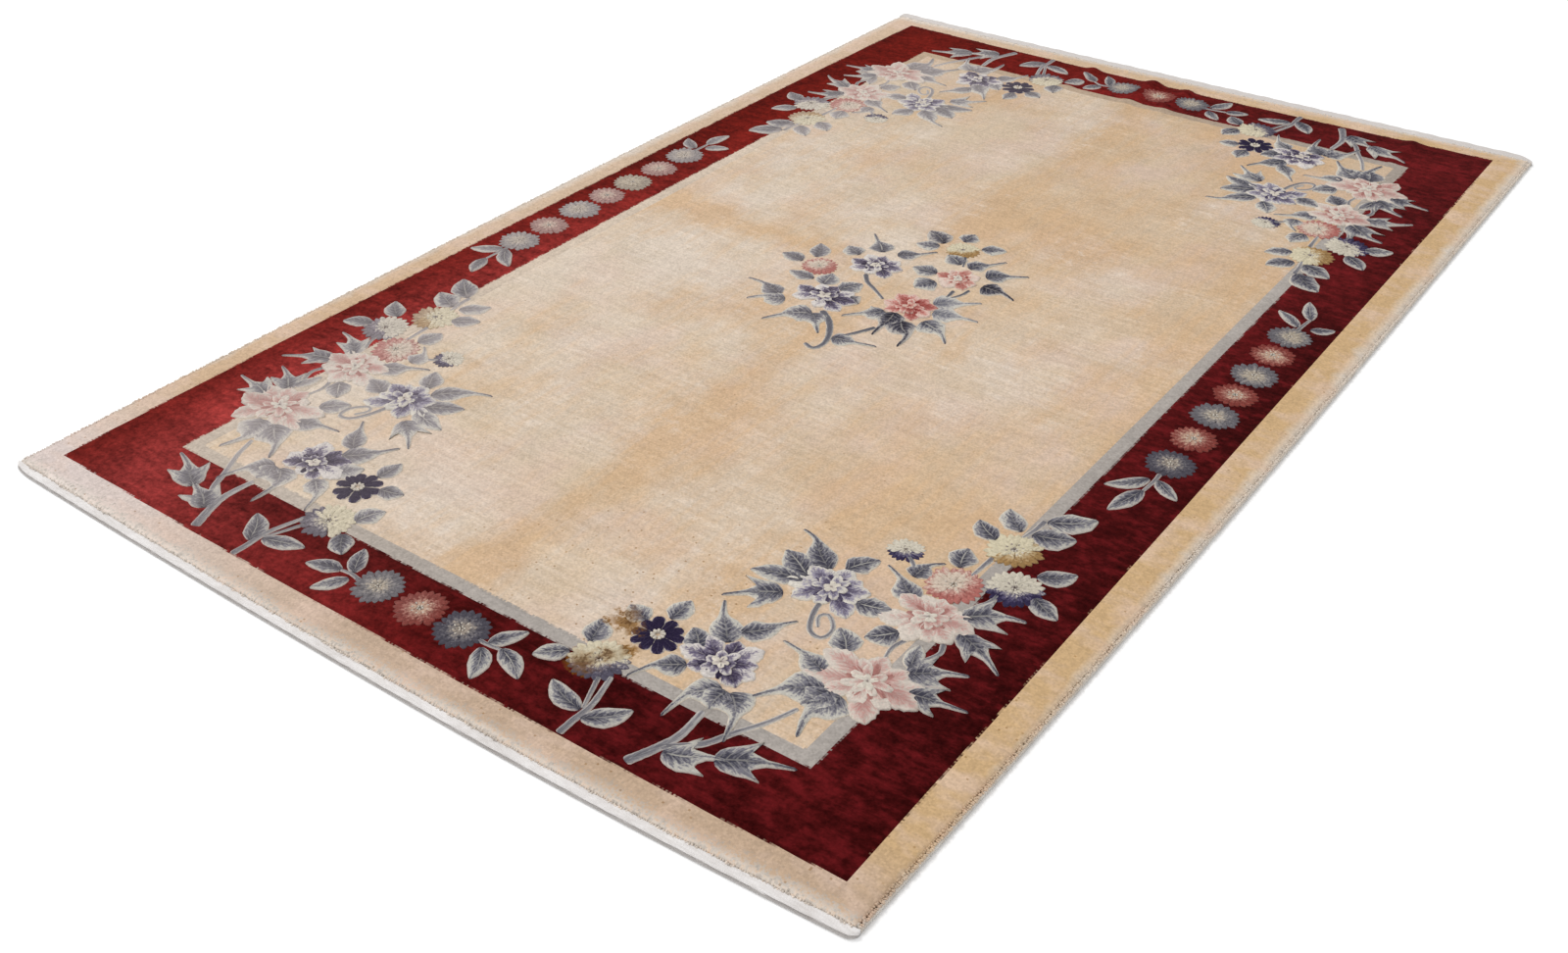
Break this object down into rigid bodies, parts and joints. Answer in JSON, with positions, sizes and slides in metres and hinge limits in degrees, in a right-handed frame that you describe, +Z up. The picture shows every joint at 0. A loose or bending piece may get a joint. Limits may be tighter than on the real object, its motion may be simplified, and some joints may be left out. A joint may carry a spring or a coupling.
{
  "type": "chinese rug",
  "caption": "Flat oblong hand-knotted rug with carved pile, red and cream borders, flower sprays, white cotton end bands and overcast side cords.",
  "frame": {"origin": "on the floor under the middle of the rug", "axes": "+X across the width to the right, +Y along the length to the far end, +Z up through the pile"},
  "size_m": [1.833, 3.133, 0.0228],
  "materials": {
    "pile": "soft cut silk pile with a satin sheen, carved round its pattern",
    "cotton": "close plain-woven white cotton, matt",
    "side_yarn": "wrapped silk yarn, soft and slightly fuzzy"
  },
  "bodies": {
    "root": {"woven_rug": "pile", "near_end_band": "cotton", "far_end_band": "cotton", "left_side_cord": "side_yarn", "right_side_cord": "side_yarn"}
  },
  "joints": []
}
